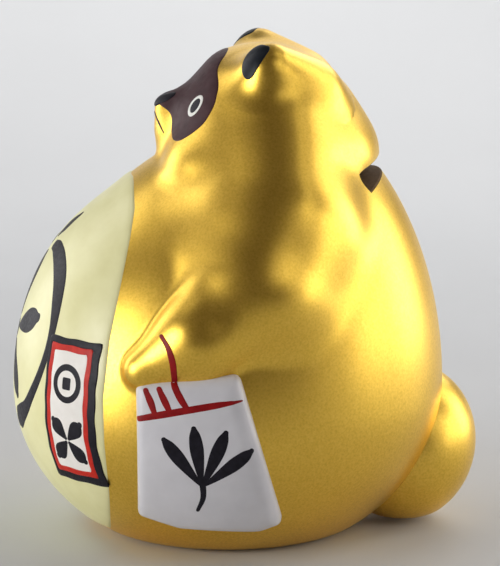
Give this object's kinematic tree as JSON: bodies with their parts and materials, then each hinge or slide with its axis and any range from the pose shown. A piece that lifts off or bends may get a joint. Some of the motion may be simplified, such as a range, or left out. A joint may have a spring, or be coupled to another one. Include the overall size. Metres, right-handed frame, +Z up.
{
  "type": "ceramic coin bank",
  "caption": "Seated raccoon-dog figure, hollow gold-painted ceramic, that takes coins through a slot at the nape and gives them back through a rubber plug in the foot.",
  "frame": {"origin": "on the table under the figure, at the centre of its footprint box", "axes": "+Z up, the figure faces -Y, its left side is +X"},
  "size_m": [0.1236, 0.1354, 0.1432],
  "materials": {
    "gold_ceramic": "satin gold paint over slip-cast ceramic",
    "ear_black": "matt black paint",
    "cream_coat": "satin cream paint",
    "brush_black": "brushed black paint",
    "mask_brown": "satin dark brown paint",
    "eye_white": "satin white paint",
    "book_white": "satin white paint over ceramic relief",
    "cord_red": "brushed dark red paint",
    "label_red": "satin red paint",
    "label_white": "satin white paint",
    "plug_rubber": "moulded translucent white rubber"
  },
  "bodies": {
    "figure": {"body_shell": "gold_ceramic", "tail": "gold_ceramic", "ear_left": "gold_ceramic", "ear_right": "gold_ceramic", "ear_fill_left": "ear_black", "ear_fill_right": "ear_black", "belly_panel": "cream_coat", "belly_ring": "brush_black", "belly_motif": "brush_black", "face_mask": "mask_brown", "nose": "brush_black", "mouth_line": "mask_brown", "eye_left": "eye_white", "eye_right": "eye_white", "pupil_left": "brush_black", "pupil_right": "brush_black", "account_book": "book_white", "book_cord": "cord_red", "wrist_cord": "cord_red", "book_motif": "brush_black", "label_border": "brush_black", "label_band": "label_red", "label_field": "label_white", "label_motif": "brush_black"},
    "plug": {"stopper": "plug_rubber"}
  },
  "joints": [
    {"name": "plug_pull", "type": "slide", "parent": "figure", "child": "plug", "axis": [0, 0, -1], "range_m": [0, 0.035]}
  ]
}
